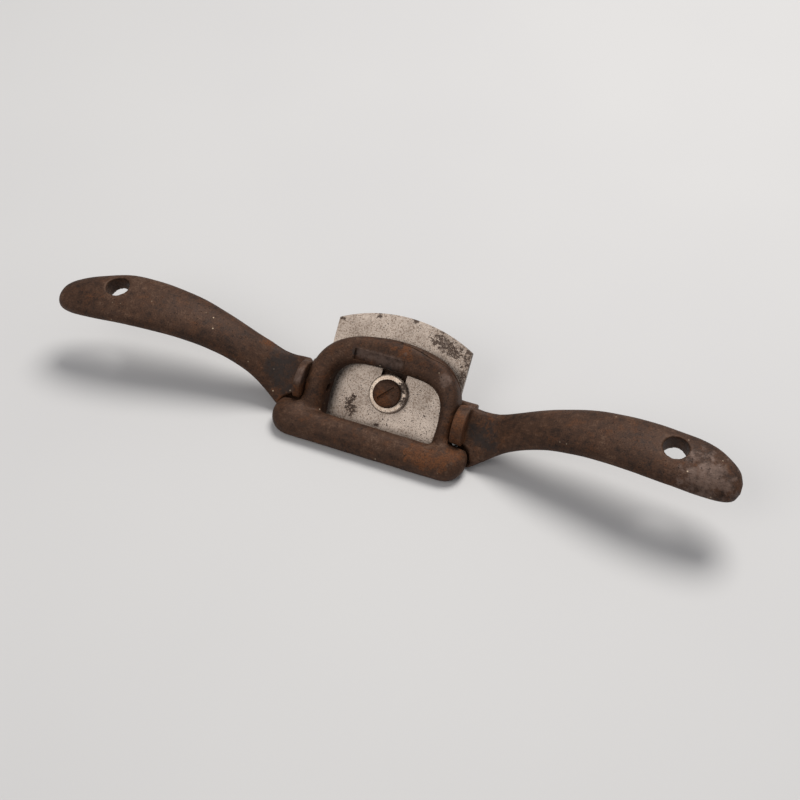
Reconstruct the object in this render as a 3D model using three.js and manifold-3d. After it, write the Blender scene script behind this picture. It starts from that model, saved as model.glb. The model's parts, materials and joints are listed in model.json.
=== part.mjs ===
// An adjustable-mouth spokeshave with raised handles, in millimetres.
// X runs along the handles, +Y points to the back of the tool and +Z up.
// The origin is on the sole: the middle of the heel's flat face.
import * as THREE from "three";
import { mergeVertices } from "three/addons/utils/BufferGeometryUtils.js";
import Module from "manifold-3d";

const wasm = await Module();
wasm.setup();

// ---------------------------------------------------------------- driving dimensions
const INCH = 25.4;
const OVERALL_LENGTH = 10.52 * INCH;
const CUTTER_WIDTH = 2.125 * INCH;
const CUTTER_THICKNESS = 2.1;
const CUTTER_CORNER_LENGTH = 37.6; // cutting edge to the top corners
const CUTTER_CROWN = 6.6; // the top arc rises this far above its corners
const BEVEL_ANGLE = 30;
const BED_ANGLE = 43; // the cutter's slope above the sole
const SLOT_WIDTH = 10;
const SLOT_FROM = 8.0;
const SLOT_TO = 34.2;

const HOOP_CLOSES = 2.5; // degrees about its pivot, to the finest mouth

const GAP = 0.3; // between pieces that touch on the real tool
const RUNNING = 0.07; // radial clearance of a shaft that turns in its hole
const EDGE_ABOVE_SOLE = 0.2; // the cutter as set for a fine shaving, not in use
const MOUTH = 1.2; // throat opening ahead of the cutting edge
const HEEL_FRONT = 4.2; // where the heel's sole starts, behind the cutting edge
const HEEL_BACK = 17.5;
const HEEL_MIDDLE = (HEEL_FRONT + HEEL_BACK) / 2;

const PIVOT_U = 10.5; // pivot axis, up the cutter from its edge
const PIVOT_N = 6.0; // and out from the cutter's face
const PIN_RADIUS = 1.6;
const EAR_RADIUS = 7.9;
// The ears' faces, as distances from the middle. The left arm is the thicker one.
const earInner = (side) => (side < 0 ? 31.0 : 29.3);
const earOuter = (side) => (side < 0 ? 34.1 : 34.0);

const CAP_SCREW_U = 14.2;
const CAP_SCREW_RADIUS = 3.1;
const CAP_HEAD_RADIUS = 5.5;
const CAP_HEAD_HEIGHT = 2.3;
const CAP_SLOT_LENGTH = 7.2;
const WASHER_RADIUS = 7.6;
const WASHER_THICKNESS = 2.0;

const THUMB_U = 28.0;
const THUMB_RADIUS = 2.9;
const THUMB_HEAD_RADIUS = 7.2;
const THUMB_HEAD_THICKNESS = 4.6;
const SPRING_COIL_RADIUS = 3.95;
const SPRING_WIRE_RADIUS = 0.5;
const SPRING_TURNS = 3;

const HOLE_RADIUS = 4.5; // hanging hole in each handle
const HOLE_X = 108.8;
const HOLE_BEHIND_MIDDLE = 1.9; // it sits towards the handle's back edge

// ---------------------------------------------------------------- solids and meshes
const degrees = THREE.MathUtils.degToRad;

function solid(geometry) {
  const plain = geometry.index ? geometry.toNonIndexed() : geometry.clone();
  plain.deleteAttribute("normal");
  plain.deleteAttribute("uv");
  const merged = mergeVertices(plain, 1e-4);
  return new wasm.Manifold(
    new wasm.Mesh({
      numProp: 3,
      vertProperties: merged.attributes.position.array,
      triVerts: new Uint32Array(merged.index.array),
    }),
  );
}

function geometryOf(made) {
  const mesh = made.getMesh();
  const geometry = new THREE.BufferGeometry();
  const positions = new THREE.BufferAttribute(mesh.vertProperties, 3);
  geometry.setAttribute("position", positions);
  geometry.setIndex(new THREE.BufferAttribute(mesh.triVerts, 1));
  geometry.computeVertexNormals();
  return geometry;
}

// The frame of the cutter: x across the tool, y up the cutter's face from its
// edge, z out of the face. It is turned about X to the bed angle.
const bedFrame = new THREE.Matrix4()
  .makeTranslation(0, 0, EDGE_ABOVE_SOLE)
  .multiply(new THREE.Matrix4().makeRotationX(degrees(BED_ANGLE)));
const mouthToOrigin = new THREE.Matrix4().makeTranslation(0, -HEEL_MIDDLE, 0);
const bedToOrigin = mouthToOrigin.clone().multiply(bedFrame);
const onBed = (geometry) => geometry.applyMatrix4(bedToOrigin);
const onSole = (geometry) => geometry.applyMatrix4(mouthToOrigin);

// A point of the cutter's frame, as (y, z) behind and above the cutting edge.
function fromBed(u, n) {
  const p = new THREE.Vector3(0, u, n).applyMatrix4(bedFrame);
  return [p.y, p.z];
}

// An outline of [y, z] points, extruded along X between two stations.
function alongX(outline, x0, x1) {
  const shape = new THREE.Shape(outline.map(([y, z]) => new THREE.Vector2(y, z)));
  const geometry = new THREE.ExtrudeGeometry(shape, {
    depth: x1 - x0,
    bevelEnabled: false,
  });
  const axes = new THREE.Matrix4().makeBasis(
    new THREE.Vector3(0, 1, 0),
    new THREE.Vector3(0, 0, 1),
    new THREE.Vector3(1, 0, 0),
  );
  return geometry.applyMatrix4(axes).translate(x0, 0, 0);
}

function rodAlongX(radius, x0, x1, y, z, sides = 28) {
  return new THREE.CylinderGeometry(radius, radius, x1 - x0, sides)
    .rotateZ(-Math.PI / 2)
    .translate((x0 + x1) / 2, y, z);
}

// A rod standing on the cutter's face at height u, from n0 to n1.
function rodAlongN(radius, u, n0, n1, sides = 28) {
  return new THREE.CylinderGeometry(radius, radius, n1 - n0, sides)
    .rotateX(Math.PI / 2)
    .translate(0, u, (n0 + n1) / 2);
}

// A closed skin over a row of rings with the same number of points.
function loft(rings) {
  const count = rings[0].length;
  const positions = rings.flat().flatMap((p) => [p.x, p.y, p.z]);
  const index = [];
  for (let i = 0; i + 1 < rings.length; i++)
    for (let j = 0; j < count; j++) {
      const a = i * count + j;
      const b = i * count + ((j + 1) % count);
      index.push(a, b, a + count, b, b + count, a + count);
    }
  const last = (rings.length - 1) * count;
  for (let j = 1; j + 1 < count; j++) {
    index.push(0, j + 1, j);
    index.push(last, last + j, last + j + 1);
  }
  const geometry = new THREE.BufferGeometry();
  const attribute = new THREE.Float32BufferAttribute(positions, 3);
  geometry.setAttribute("position", attribute);
  geometry.setIndex(index);
  return geometry;
}

// Smooth values between stations: each row is [x, value, value, ...].
function stations(rows) {
  const curve = (k) =>
    new THREE.CatmullRomCurve3(
      rows.map((row) => new THREE.Vector3(row[0], row[k], 0)),
      false,
      "centripetal",
    );
  const curves = rows[0].slice(1).map((_, k) => curve(k + 1));
  return (t) => [curves[0].getPoint(t).x, ...curves.map((c) => c.getPoint(t).y)];
}

// ---------------------------------------------------------------- stock
// Handle stations: x, centre behind the edge, centre height, half width,
// half thickness, tilt of the width above the sole in degrees.
const HALF_LENGTH = OVERALL_LENGTH / 2;
const HANDLE = [
  [31.5, 2.7, 7.2, 12.8, 4.6, 50],
  [35.0, 2.7, 7.5, 12.4, 4.4, 47],
  [39.0, 3.3, 8.5, 11.0, 4.2, 42],
  [44.0, 4.4, 10.5, 9.4, 4.2, 34],
  [50.0, 5.7, 13.8, 8.3, 4.5, 24],
  [57.0, 6.1, 17.5, 7.9, 4.8, 15],
  [66.0, 6.3, 21.4, 8.3, 5.0, 10],
  [80.0, 6.0, 25.3, 9.5, 5.0, 8],
  [95.0, 4.3, 28.0, 10.4, 4.8, 8],
  [110.0, 2.6, 28.8, 10.6, 4.4, 8],
  [121.0, 1.3, 28.1, 9.8, 4.2, 8],
  [128.0, 0.4, 27.0, 7.9, 3.9, 8],
  [132.0, 0.0, 26.2, 5.3, 3.2, 8],
  [HALF_LENGTH, -0.1, 25.9, 1.6, 1.2, 8],
];
const HANDLE_RINGS = 30;
const HANDLE_SIDES = 20;

function handle(side) {
  const at = stations(HANDLE);
  const rings = [];
  for (let i = 0; i <= HANDLE_RINGS; i++) {
    const [x, y, z, half, thick, tilt] = at(i / HANDLE_RINGS);
    const turn = degrees(tilt);
    const ring = [];
    for (let j = 0; j < HANDLE_SIDES; j++) {
      const angle = (side * j * 2 * Math.PI) / HANDLE_SIDES;
      const a = half * Math.cos(angle);
      const b = thick * Math.sin(angle);
      ring.push(
        new THREE.Vector3(
          side * x,
          y + a * Math.cos(turn) - b * Math.sin(turn),
          z + a * Math.sin(turn) + b * Math.cos(turn),
        ),
      );
    }
    rings.push(ring);
  }
  return solid(onSole(loft(rings)));
}

function hangingHole(side) {
  const [, y, z, , , tilt] = HANDLE[9];
  return solid(
    onSole(
      new THREE.CylinderGeometry(HOLE_RADIUS, HOLE_RADIUS, 20, 32)
        .rotateX(Math.PI / 2 + degrees(tilt))
        .translate(side * HOLE_X, y + HOLE_BEHIND_MIDDLE, z),
    ),
  );
}

// The wedge that carries the cutter: heel sole below, bed above.
const BED_FACE = -CUTTER_THICKNESS - GAP;
const BED_TOP = 31.5;
const BED_PLATE = 5.6;
const WEDGE_TOP = 19.5;
const HEEL_ROUND = 1.2;
const bedOutline = [
  [HEEL_FRONT, 0],
  [HEEL_BACK - HEEL_ROUND, 0],
  [HEEL_BACK, HEEL_ROUND],
  [HEEL_BACK, 4.6],
  fromBed(WEDGE_TOP, BED_FACE - BED_PLATE + 0.5),
  fromBed(WEDGE_TOP, BED_FACE),
  fromBed(5.1, BED_FACE),
];
const BED_HALF_WIDTH = 21.5;
const BED_CORNER = 5;
const BED_RELIEF = 0.15; // the plate lies this far below the seat

// The plate above the wedge, narrower than the cutter, with round corners.
function bedPlate() {
  const shape = new THREE.Shape();
  const side = BED_HALF_WIDTH;
  shape.moveTo(-side, WEDGE_TOP - 8);
  shape.lineTo(side, WEDGE_TOP - 8);
  shape.absarc(side - BED_CORNER, BED_TOP - BED_CORNER, BED_CORNER, 0, Math.PI / 2);
  shape.absarc(
    BED_CORNER - side,
    BED_TOP - BED_CORNER,
    BED_CORNER,
    Math.PI / 2,
    Math.PI,
  );
  return new THREE.ExtrudeGeometry(shape, {
    depth: BED_PLATE - BED_RELIEF,
    bevelEnabled: false,
    curveSegments: 8,
  }).translate(0, 0, BED_FACE - BED_PLATE);
}

const EAR_CENTRE = fromBed(PIVOT_U, PIVOT_N);

function ear(side) {
  const [y, z] = EAR_CENTRE;
  const inner = earInner(side);
  const outer = earOuter(side);
  const between = (inset) =>
    side > 0 ? [inner + inset, outer - inset] : [inset - outer, -inner - inset];
  const web = [
    fromBed(PIVOT_U - EAR_RADIUS + 0.5, PIVOT_N),
    fromBed(6.8, BED_FACE - 1),
    [HEEL_FRONT + 3, 1.5],
    [HEEL_BACK - 2.5, 1.5],
    fromBed(WEDGE_TOP - 1.5, BED_FACE - 2.5),
    fromBed(PIVOT_U + EAR_RADIUS - 0.3, PIVOT_N),
  ];
  const disc = solid(onSole(rodAlongX(EAR_RADIUS, ...between(0), y, z, 40)));
  return disc.add(solid(onSole(alongX(web, ...between(0.17)))));
}

function makeStock() {
  const inset = 0.4;
  const body = solid(
    onSole(alongX(bedOutline, inset - earOuter(-1), earOuter(1) - inset)),
  );
  const plate = solid(onBed(bedPlate()));
  const capHole = solid(
    onBed(rodAlongN(CAP_SCREW_RADIUS + RUNNING, CAP_SCREW_U, -30, 0, 36)),
  );
  const thumbHole = solid(
    onBed(rodAlongN(THUMB_RADIUS + RUNNING, THUMB_U, -30, 0, 36)),
  );
  const [py, pz] = EAR_CENTRE;
  // The handles stay off the surface that the sole stands on.
  const below = solid(onSole(alongX(rectangle(-60, -30, 60, 0.6), -200, 200)));
  let made = body.add(plate);
  for (const side of [-1, 1]) {
    // The handle starts inside the cheek, so nothing of it reaches the throat.
    const throat = solid(
      onSole(
        alongX(rectangle(-40, -20, 60, 60), -earInner(-1) - 1, earInner(1) + 1),
      ),
    );
    const root = handle(side).subtract(throat).subtract(below);
    made = made.add(ear(side)).add(root);
    made = made.subtract(hangingHole(side));
  }
  const pinHole = solid(
    onSole(
      rodAlongX(PIN_RADIUS + RUNNING, -earOuter(-1), earOuter(1), py, pz, 24),
    ),
  );
  return made
    .subtract(toeBar(0.75, HOOP_CLOSES / 2))
    .subtract(capHole)
    .subtract(thumbHole)
    .subtract(pinHole);
}

function rectangle(y0, z0, y1, z1) {
  return [
    [y0, z0],
    [y1, z0],
    [y1, z1],
    [y0, z1],
  ];
}

// ---------------------------------------------------------------- throat hoop
// The hoop's line in the cutter's frame, from the left arm over the arch to the
// right arm: x, u, half width across the line, lowest n, highest n.
const HOOP = [
  [-26.7, -5.0, 5.4, 4.9, 8.6],
  [-26.5, -1.0, 5.0, 1.3, 9.4],
  [-26.4, 3.5, 4.7, 0.95, 10.6],
  [-26.4, 8.0, 4.5, 0.95, 11.3],
  [-26.3, 12.5, 4.5, 1.0, 11.8],
  [-25.6, 17.5, 4.6, 1.4, 11.6],
  [-22.9, 22.5, 4.7, 2.1, 11.0],
  [-17.8, 26.2, 4.9, 2.8, 10.4],
  [-10.5, 28.1, 5.2, 3.3, 9.9],
  [0.0, 28.9, 5.6, 3.4, 9.8],
  [10.5, 28.3, 5.4, 3.3, 9.9],
  [17.9, 26.4, 4.9, 2.8, 10.4],
  [22.9, 22.4, 4.3, 2.1, 11.0],
  [25.3, 17.5, 3.7, 1.5, 11.6],
  [26.0, 12.5, 3.3, 1.2, 11.8],
  [26.1, 7.0, 3.2, 1.0, 11.2],
  [26.0, 2.5, 3.6, 0.95, 10.2],
  [26.0, -1.5, 4.2, 1.7, 9.2],
  [26.2, -5.0, 5.0, 4.9, 8.6],
];
const HOOP_RINGS = 54;
const barTip = (side) => (side < 0 ? 40.0 : 37.7);
const BAR_END_LENGTH = 8.4;
const barOutline = [
  [-MOUTH, 0],
  [-13.8, 0],
  [-15.5, 0.8],
  [-16.4, 2.6],
  [-16.2, 4.8],
  [-14.7, 7.0],
  [-12.4, 8.6],
  [-9.8, 9.3],
  [-7.2, 8.9],
  [-5.4, 7.4],
  [-4.6, 5.6],
];

// Rings of the toe bar along X, to round ends with a knob in each. The bar can be
// grown, to cut the room that it swings in.
const BAR_MIDDLE = [-9.1, 4.6];
const BAR_END_RINGS = 8;
const BAR_SWEEP = 0.8;
const KNOB_RADII = [8.0, 7.8, 4.8];
const KNOB_MIDDLE = [-7.5, 5.0];

function barRing(side, bow, grown) {
  const x = side * (barTip(side) - BAR_END_LENGTH * (1 - bow) + grown);
  const scale = Math.max((1 - bow ** 2.2) ** (1 / 2.2), 0.12);
  const middle = new THREE.Vector2(...BAR_MIDDLE);
  const swept = new THREE.Vector2(BAR_SWEEP * bow ** 2, 0).add(middle);
  return barOutline
    .map(([y, z]) => {
      const out = new THREE.Vector2(y, z).sub(middle);
      const p = out.setLength(out.length() * scale + grown).add(swept);
      return new THREE.Vector3(x, p.x, p.y);
    })
    .reverse();
}

function knob(side, grown) {
  const [rx, ry, rz] = KNOB_RADII.map((radius) => radius + grown);
  return new THREE.SphereGeometry(1, 28, 18)
    .rotateX(Math.PI / 2)
    .scale(rx, ry, rz)
    .translate(side * (barTip(side) - KNOB_RADII[0]), ...KNOB_MIDDLE);
}

function toeBar(grown = 0, turn = 0) {
  const bows = [];
  for (let i = 0; i <= BAR_END_RINGS; i++)
    bows.push(Math.sin((i / BAR_END_RINGS) * (Math.PI / 2)));
  const right = bows.map((bow) => barRing(1, bow, grown));
  const left = bows.map((bow) => barRing(-1, bow, grown)).reverse();
  const placed = (geometry) => solid(onSole(aboutPivot(geometry, turn)));
  return placed(loft([...left, ...right]))
    .add(placed(knob(-1, grown)))
    .add(placed(knob(1, grown)));
}

// Turns a geometry about the hoop's pivot; a positive turn closes the mouth.
function aboutPivot(geometry, turn) {
  const [y, z] = EAR_CENTRE;
  return geometry.translate(0, -y, -z).rotateX(degrees(turn)).translate(0, y, z);
}

function hoopRing(point, along, half, low, high) {
  // The section is a round-topped bead with a flat underside, wider below.
  const across = new THREE.Vector3(along.y, -along.x, 0).normalize();
  const middle = (low + high) / 2;
  const tall = (high - low) / 2;
  const section = [];
  for (let j = 0; j < 16; j++) {
    const angle = (j * 2 * Math.PI) / 16;
    const c = Math.cos(angle);
    const s = Math.sin(angle);
    const power = s > 0 ? 0.74 : 0.42;
    const rise = Math.sign(s) * Math.abs(s) ** power;
    const a = Math.sign(c) * Math.abs(c) ** power * half * (1 - 0.1 * rise);
    const b = rise * tall;
    section.push(
      new THREE.Vector3(point.x, point.y, middle + b).addScaledVector(across, a),
    );
  }
  return section.reverse();
}

function makeHoop() {
  const line = new THREE.CatmullRomCurve3(
    HOOP.map(([x, u]) => new THREE.Vector3(x, u, 0)),
    false,
    "centripetal",
  );
  const sizes = new THREE.CatmullRomCurve3(
    HOOP.map(([, , half, low, high]) => new THREE.Vector3(half, low, high)),
    false,
    "centripetal",
  );
  const rings = [];
  for (let i = 0; i <= HOOP_RINGS; i++) {
    const t = i / HOOP_RINGS;
    const size = sizes.getPoint(t);
    rings.push(
      hoopRing(line.getPoint(t), line.getTangent(t), size.x, size.y, size.z),
    );
  }
  // The arms stop short of the ears, and the knobs pass in front of them.
  const armRoom = solid(
    onSole(
      alongX(rectangle(-40, -30, 60, 60), GAP - earInner(-1), earInner(1) - GAP),
    ),
  );
  const ring = solid(onBed(loft(rings))).intersect(armRoom);
  const bar = toeBar();
  const [py, pz] = EAR_CENTRE;
  const earRoom = [-1, 1].map((side) => {
    const x0 = side > 0 ? earInner(1) - GAP - 0.02 : -60;
    const x1 = side > 0 ? 60 : GAP + 0.02 - earInner(-1);
    return solid(onSole(rodAlongX(EAR_RADIUS + 0.45, x0, x1, py, pz, 48)));
  });
  const pinHole = solid(
    onSole(
      rodAlongX(PIN_RADIUS + RUNNING, -earInner(-1), earInner(1), py, pz, 24),
    ),
  );
  const lugHole = solid(onBed(rodAlongN(THUMB_RADIUS + 0.7, THUMB_U, 0, 8.2, 36)));
  // Room for the cutter's face and the mouth.
  const throat = solid(
    onBed(new THREE.BoxGeometry(120, 80, 20).translate(0, 36, -9.2)),
  );
  return ring
    .add(bar)
    .subtract(earRoom[0])
    .subtract(earRoom[1])
    .subtract(lugHole)
    .subtract(pinHole)
    .subtract(throat);
}

// ---------------------------------------------------------------- cutter
function makeCutter() {
  const half = CUTTER_WIDTH / 2;
  const crownRadius = (half ** 2 + CUTTER_CROWN ** 2) / (2 * CUTTER_CROWN);
  const crownCentre = CUTTER_CORNER_LENGTH + CUTTER_CROWN - crownRadius;
  const spread = Math.asin(half / crownRadius);
  const shape = new THREE.Shape();
  shape.moveTo(-half, 0);
  shape.lineTo(half, 0);
  shape.lineTo(half, CUTTER_CORNER_LENGTH);
  const start = Math.PI / 2 - spread;
  shape.absarc(0, crownCentre, crownRadius, start, Math.PI - start, false);
  shape.lineTo(-half, 0);
  const slot = new THREE.Path();
  const round = SLOT_WIDTH / 2;
  slot.moveTo(round, SLOT_FROM + round);
  slot.absarc(0, SLOT_FROM + round, round, 0, -Math.PI, true);
  slot.absarc(0, SLOT_TO - round, round, Math.PI, 0, true);
  shape.holes.push(slot);
  const blank = new THREE.ExtrudeGeometry(shape, {
    depth: CUTTER_THICKNESS,
    bevelEnabled: false,
    curveSegments: 20,
  }).translate(0, 0, -CUTTER_THICKNESS);
  // The bevel is ground on the underside, and a hair of flat is left at the edge.
  const run = (CUTTER_THICKNESS + 1) / Math.tan(degrees(BEVEL_ANGLE));
  const bevel = alongX(
    [
      [-5, -0.12],
      [0, -0.12],
      [run, -CUTTER_THICKNESS - 1.12],
      [-5, -CUTTER_THICKNESS - 1.12],
    ],
    -40,
    40,
  );
  return solid(onBed(blank)).subtract(solid(onBed(bevel)));
}

// ---------------------------------------------------------------- cap screw and washer
function latheOnBed(profile, u, sides) {
  const points = profile.map(([r, n]) => new THREE.Vector2(r, n));
  return new THREE.LatheGeometry(points, sides)
    .rotateX(Math.PI / 2)
    .translate(0, u, 0);
}

const WASHER_BASE = GAP;
const WASHER_TOP = WASHER_BASE + WASHER_THICKNESS;

function makeWasher() {
  const bore = CAP_SCREW_RADIUS + RUNNING;
  return solid(
    onBed(
      latheOnBed(
        [
          [bore, WASHER_BASE],
          [WASHER_RADIUS - 0.2, WASHER_BASE],
          [WASHER_RADIUS, WASHER_BASE + 0.3],
          [WASHER_RADIUS - 0.2, WASHER_TOP - 0.8],
          [CAP_HEAD_RADIUS + 0.6, WASHER_TOP],
          [bore, WASHER_TOP],
          [bore, WASHER_BASE],
        ],
        CAP_SCREW_U,
        36,
      ),
    ),
  );
}

const HEAD_BASE = WASHER_TOP + GAP;
const HEAD_TOP = HEAD_BASE + CAP_HEAD_HEIGHT;
const CAP_SCREW_END = BED_FACE - 5.0;

function makeCapScrew() {
  const screw = solid(
    onBed(
      latheOnBed(
        [
          [0, CAP_SCREW_END],
          [CAP_SCREW_RADIUS - 0.6, CAP_SCREW_END],
          [CAP_SCREW_RADIUS, CAP_SCREW_END + 0.6],
          [CAP_SCREW_RADIUS, HEAD_BASE],
          [CAP_HEAD_RADIUS, HEAD_BASE],
          [CAP_HEAD_RADIUS, HEAD_TOP - 0.8],
          [CAP_HEAD_RADIUS - 0.9, HEAD_TOP - 0.25],
          [CAP_HEAD_RADIUS - 2.6, HEAD_TOP],
          [0, HEAD_TOP],
        ],
        CAP_SCREW_U,
        32,
      ),
    ),
  );
  const cut = new THREE.BoxGeometry(CAP_SLOT_LENGTH, 1.0, 1.8)
    .rotateZ(degrees(46))
    .translate(0, CAP_SCREW_U, HEAD_TOP);
  return screw.subtract(solid(onBed(cut)));
}

// ---------------------------------------------------------------- mouth adjuster
const BED_BACK = BED_FACE - BED_PLATE;
const THUMB_HEAD_TOP = BED_BACK - GAP;
const THUMB_HEAD_BASE = THUMB_HEAD_TOP - THUMB_HEAD_THICKNESS;
const THUMB_END = 6.2; // clear of the hole's end with the mouth wide open
const KNURLS = 24;

function makeThumbscrew() {
  const outline = new THREE.Shape();
  for (let i = 0; i < 2 * KNURLS; i++) {
    const angle = (i * Math.PI) / KNURLS;
    const r = THUMB_HEAD_RADIUS - (i % 2) * 0.6;
    const x = r * Math.cos(angle);
    const y = r * Math.sin(angle);
    if (i) outline.lineTo(x, y);
    else outline.moveTo(x, y);
  }
  const head = new THREE.ExtrudeGeometry(outline, {
    depth: THUMB_HEAD_THICKNESS,
    bevelEnabled: false,
  }).translate(0, THUMB_U, THUMB_HEAD_BASE);
  const shank = rodAlongN(THUMB_RADIUS, THUMB_U, THUMB_HEAD_BASE + 1, THUMB_END);
  return solid(onBed(head)).add(solid(onBed(shank)));
}

function makeSpring() {
  const from = BED_FACE + SPRING_WIRE_RADIUS + GAP;
  const to = 3.4 - SPRING_WIRE_RADIUS - GAP;
  class Coil extends THREE.Curve {
    getPoint(t, target = new THREE.Vector3()) {
      const angle = t * SPRING_TURNS * 2 * Math.PI;
      return target.set(
        SPRING_COIL_RADIUS * Math.cos(angle),
        THUMB_U + SPRING_COIL_RADIUS * Math.sin(angle),
        from + t * (to - from),
      );
    }
  }
  const wire = new THREE.Shape();
  wire.absarc(0, 0, SPRING_WIRE_RADIUS, 0, 2 * Math.PI, false);
  return solid(
    onBed(
      new THREE.ExtrudeGeometry(wire, {
        steps: 16 * SPRING_TURNS,
        extrudePath: new Coil(),
        curveSegments: 6,
      }),
    ),
  );
}

function makePivotPin(side) {
  const [y, z] = EAR_CENTRE;
  const inner = earInner(side) - 5;
  const outer = earOuter(side) - 0.5;
  const [x0, x1] = side > 0 ? [inner, outer] : [-outer, -inner];
  return solid(onSole(rodAlongX(PIN_RADIUS, x0, x1, y, z, 24)));
}

// ---------------------------------------------------------------- the tool
const iron = () =>
  new THREE.MeshStandardMaterial({ color: 0x4a3a30, roughness: 0.62, metalness: 0.55 });
const steel = () =>
  new THREE.MeshStandardMaterial({ color: 0xa9a19a, roughness: 0.42, metalness: 0.9 });
const rustySteel = () =>
  new THREE.MeshStandardMaterial({ color: 0x5a3a24, roughness: 0.7, metalness: 0.5 });

const spokeshave = new THREE.Group();
function add(name, made, material) {
  const mesh = new THREE.Mesh(geometryOf(made), material);
  mesh.name = name;
  spokeshave.add(mesh);
}

add("stock", makeStock(), iron());
add("throat_hoop", makeHoop(), iron());
add("pivot_pin_left", makePivotPin(-1), rustySteel());
add("pivot_pin_right", makePivotPin(1), rustySteel());
add("cutter", makeCutter(), steel());
add("cap_washer", makeWasher(), steel());
add("cap_screw", makeCapScrew(), rustySteel());
add("mouth_thumbscrew", makeThumbscrew(), rustySteel());
add("mouth_spring", makeSpring(), steel());

export default spokeshave;
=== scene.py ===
# %% [markdown]
# # An old iron spokeshave
# This tool shaves wooden spokes: two raised iron handles with a cutter between them. A second
# casting, the throat hoop, swings between two ears and carries the front part of the sole. This
# notebook shows how each piece is shaped and how its worn finish is made.
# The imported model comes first, because every new piece has to sit in its frame.

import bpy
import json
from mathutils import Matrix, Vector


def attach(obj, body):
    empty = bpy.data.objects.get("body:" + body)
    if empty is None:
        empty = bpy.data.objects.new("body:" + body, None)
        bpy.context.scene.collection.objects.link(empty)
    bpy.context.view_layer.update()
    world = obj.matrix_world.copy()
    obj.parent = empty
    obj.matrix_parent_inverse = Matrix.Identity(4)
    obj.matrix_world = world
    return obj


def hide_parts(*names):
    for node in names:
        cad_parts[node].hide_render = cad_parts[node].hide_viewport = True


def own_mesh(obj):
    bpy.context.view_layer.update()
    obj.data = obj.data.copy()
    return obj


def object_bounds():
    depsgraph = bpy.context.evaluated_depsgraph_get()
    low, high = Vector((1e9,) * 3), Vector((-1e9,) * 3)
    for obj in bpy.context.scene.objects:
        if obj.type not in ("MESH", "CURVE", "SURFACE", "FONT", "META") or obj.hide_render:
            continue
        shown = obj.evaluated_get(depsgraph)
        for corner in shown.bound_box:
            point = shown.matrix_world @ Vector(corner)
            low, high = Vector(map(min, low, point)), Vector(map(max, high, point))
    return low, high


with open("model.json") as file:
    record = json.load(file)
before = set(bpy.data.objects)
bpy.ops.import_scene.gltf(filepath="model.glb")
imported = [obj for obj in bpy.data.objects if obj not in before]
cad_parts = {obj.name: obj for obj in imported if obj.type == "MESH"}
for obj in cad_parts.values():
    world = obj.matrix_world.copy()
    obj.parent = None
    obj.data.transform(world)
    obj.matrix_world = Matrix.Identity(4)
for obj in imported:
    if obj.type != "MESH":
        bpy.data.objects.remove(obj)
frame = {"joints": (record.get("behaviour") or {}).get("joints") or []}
cad_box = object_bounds()
print("the packed model spans", [list(corner) for corner in cad_box])

# %% [markdown]
# ## Two frames to work in
# The whole tool stands on its sole. The cutter lies on a bed that slopes back, and the hoop, the
# washer and the screws follow that slope. The slope's directions come from the joints: the cutter's
# slide gives "up the cutter" and the cap screw's axis gives "out of its face". Shapes are made in
# millimetres, which are handier at this size, and each finished mesh is scaled to metres once.

# %% Frames and joints
import json
import math

import bmesh
import bpy
from mathutils import Matrix, Vector, noise

MM = 0.001
CAP_SCREW_UP = 14.2
joints = {joint["name"]: joint for joint in frame["joints"]}
up_cutter = Vector(joints["cutter_depth"]["axis"]).normalized()
out_of_cutter = Vector(joints["cap_screw_turn"]["axis"]).normalized()
cap_screw_at = Vector(joints["cap_screw_turn"]["pos_m"]) / MM
edge_middle = cap_screw_at - up_cutter * CAP_SCREW_UP
pivot_at = Vector(joints["hoop_pivot"]["pos_m"]) / MM

bed_frame = Matrix((Vector((1, 0, 0)), up_cutter, out_of_cutter)).transposed().to_4x4()
bed_frame.translation = edge_middle
sole_frame = Matrix.Translation((0, edge_middle.y, 0))
THUMB_UP = (Vector(joints["thumbscrew_turn"]["pos_m"]) / MM - edge_middle).dot(up_cutter)
PIVOT_UP = (pivot_at - edge_middle).dot(up_cutter)
PIVOT_OUT = (pivot_at - edge_middle).dot(out_of_cutter)
bed_angle = math.degrees(math.acos(up_cutter.y))
print("bed angle", round(bed_angle, 1), "pivot", round(PIVOT_UP, 2), round(PIVOT_OUT, 2))


def outward_frame(across, side=1):
    """On the hoop's pivot, that far across, with its third axis pointing out to that side."""
    start = Matrix.Translation((across, pivot_at.y, pivot_at.z))
    return start @ Matrix.Rotation(side * math.pi / 2, 4, "Y")


# %% [markdown]
# ## Small helpers for shapes
# A loft is a row of circles joined by bridge_loops, with a filled circle at each end. Each circle
# is stretched into its section by a matrix. Values between stations come from a smooth cubic,
# so a handle needs only a few stations.

# %% Smooth values between stations
def smooth_between(stations, x):
    """Each station is (x, value, value, ...). Returns the values at x on one smooth cubic."""
    last = len(stations) - 1
    i = max(k for k in range(last) if k == 0 or stations[k][0] <= x)
    x0, x1 = stations[i][0], stations[i + 1][0]
    t = min(max((x - x0) / (x1 - x0), 0), 1)

    def slope(k, column):
        before, after = stations[max(k - 1, 0)], stations[min(k + 1, last)]
        return (after[column] - before[column]) / (after[0] - before[0])

    values = []
    for column in range(1, len(stations[0])):
        a, b = stations[i][column], stations[i + 1][column]
        rise_a, rise_b = slope(i, column) * (x1 - x0), slope(i + 1, column) * (x1 - x0)
        bend_a = (2 * t**3 - 3 * t**2 + 1) * a + (t**3 - 2 * t**2 + t) * rise_a
        bend_b = (3 * t**2 - 2 * t**3) * b + (t**3 - t**2) * rise_b
        values.append(bend_a + bend_b)
    return values


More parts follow.
